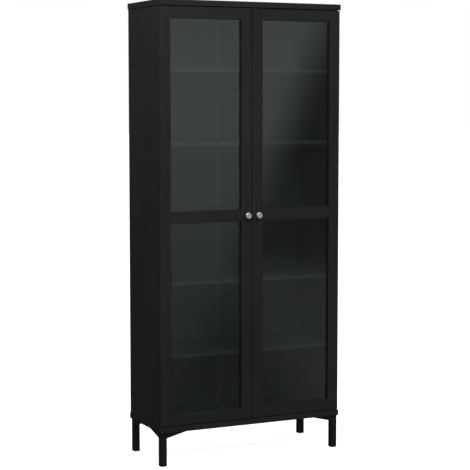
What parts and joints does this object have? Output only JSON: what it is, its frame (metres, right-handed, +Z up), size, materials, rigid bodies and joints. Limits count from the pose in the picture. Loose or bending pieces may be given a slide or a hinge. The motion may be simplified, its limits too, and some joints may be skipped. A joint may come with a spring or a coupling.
{
  "type": "display cabinet",
  "caption": "Tall black display cabinet on square steel legs, with framed glass doors on concealed hinges, loose shelves and round metal knobs.",
  "frame": {"origin": "on the floor, at the middle of the cabinet's width and of its depth with the knobs", "axes": "+X to the right seen from the front, +Y to the back, +Z up; the doors face -Y"},
  "size_m": [0.876, 0.38, 2],
  "materials": {
    "black_foil": "matt black foil with a faint wood grain on particleboard",
    "hardboard": "thin hardboard, black on the inner face",
    "glass": "clear float glass",
    "leg_steel": "matt black powder coat",
    "black_plastic": "black moulded plastic",
    "knob_metal": "satin turned metal",
    "plated_steel": "nickel-plated steel",
    "black_nickel": "dark nickel plate on pressed steel",
    "beech": "fluted beech dowel"
  },
  "bodies": {
    "carcass": {"top_board": "black_foil", "base_board": "black_foil", "left_side_panel": "black_foil", "right_side_panel": "black_foil", "middle_shelf": "black_foil", "bottom_shelf": "black_foil", "lower_shelf": "black_foil", "upper_shelf": "black_foil", "top_shelf": "black_foil", "shelf_pins": "black_nickel", "left_back_panel": "hardboard", "right_back_panel": "hardboard", "back_joining_strip": "black_plastic", "back_panel_nails": "plated_steel", "wood_dowels": "beech", "cam_bolts": "plated_steel", "cam_discs": "plated_steel", "wall_brackets": "black_nickel", "wall_bracket_screws": "plated_steel", "door_catch": "black_plastic", "front_left_leg": "leg_steel", "front_right_leg": "leg_steel", "back_left_leg": "leg_steel", "back_right_leg": "leg_steel", "foot_caps": "black_plastic", "leg_screws": "plated_steel", "left_hinge_plates": "black_nickel", "right_hinge_plates": "black_nickel", "left_hinge_arms": "black_nickel", "right_hinge_arms": "black_nickel", "hinge_plate_screws": "plated_steel"},
    "left_hinge": {"left_hinge_links": "black_nickel"},
    "right_hinge": {"right_hinge_links": "black_nickel"},
    "left_door": {"left_door_hinge_stile": "black_foil", "left_door_knob_stile": "black_foil", "left_door_top_rail": "black_foil", "left_door_middle_rail": "black_foil", "left_door_bottom_rail": "black_foil", "left_upper_glass": "glass", "left_lower_glass": "glass", "left_glazing_beads": "black_plastic", "left_hinge_cups": "black_nickel", "left_cup_screws": "plated_steel", "left_knob": "knob_metal", "left_knob_screw": "plated_steel", "left_strike_plate": "plated_steel"},
    "right_door": {"right_door_hinge_stile": "black_foil", "right_door_knob_stile": "black_foil", "right_door_top_rail": "black_foil", "right_door_middle_rail": "black_foil", "right_door_bottom_rail": "black_foil", "right_upper_glass": "glass", "right_lower_glass": "glass", "right_glazing_beads": "black_plastic", "right_hinge_cups": "black_nickel", "right_cup_screws": "plated_steel", "right_knob": "knob_metal", "right_knob_screw": "plated_steel", "right_strike_plate": "plated_steel"}
  },
  "joints": [
    {"name": "left_hinge_reach", "type": "slide", "parent": "carcass", "child": "left_hinge", "axis": [0, -1, 0], "range_m": [0, 0.0151]},
    {"name": "left_door_swing", "type": "hinge", "parent": "left_hinge", "child": "left_door", "pos_m": [-0.423, -0.153, 1.074], "axis": [0, 0, -1], "range_deg": [0, 100]},
    {"name": "right_hinge_reach", "type": "slide", "parent": "carcass", "child": "right_hinge", "axis": [0, -1, 0], "range_m": [0, 0.0151]},
    {"name": "right_door_swing", "type": "hinge", "parent": "right_hinge", "child": "right_door", "pos_m": [0.423, -0.153, 1.074], "axis": [0, 0, 1], "range_deg": [0, 100]}
  ],
  "couplings": [
    {"joint": "left_hinge_reach", "follows": "left_door_swing", "m_per_rad": 0.008594},
    {"joint": "right_hinge_reach", "follows": "right_door_swing", "m_per_rad": 0.008594}
  ]
}
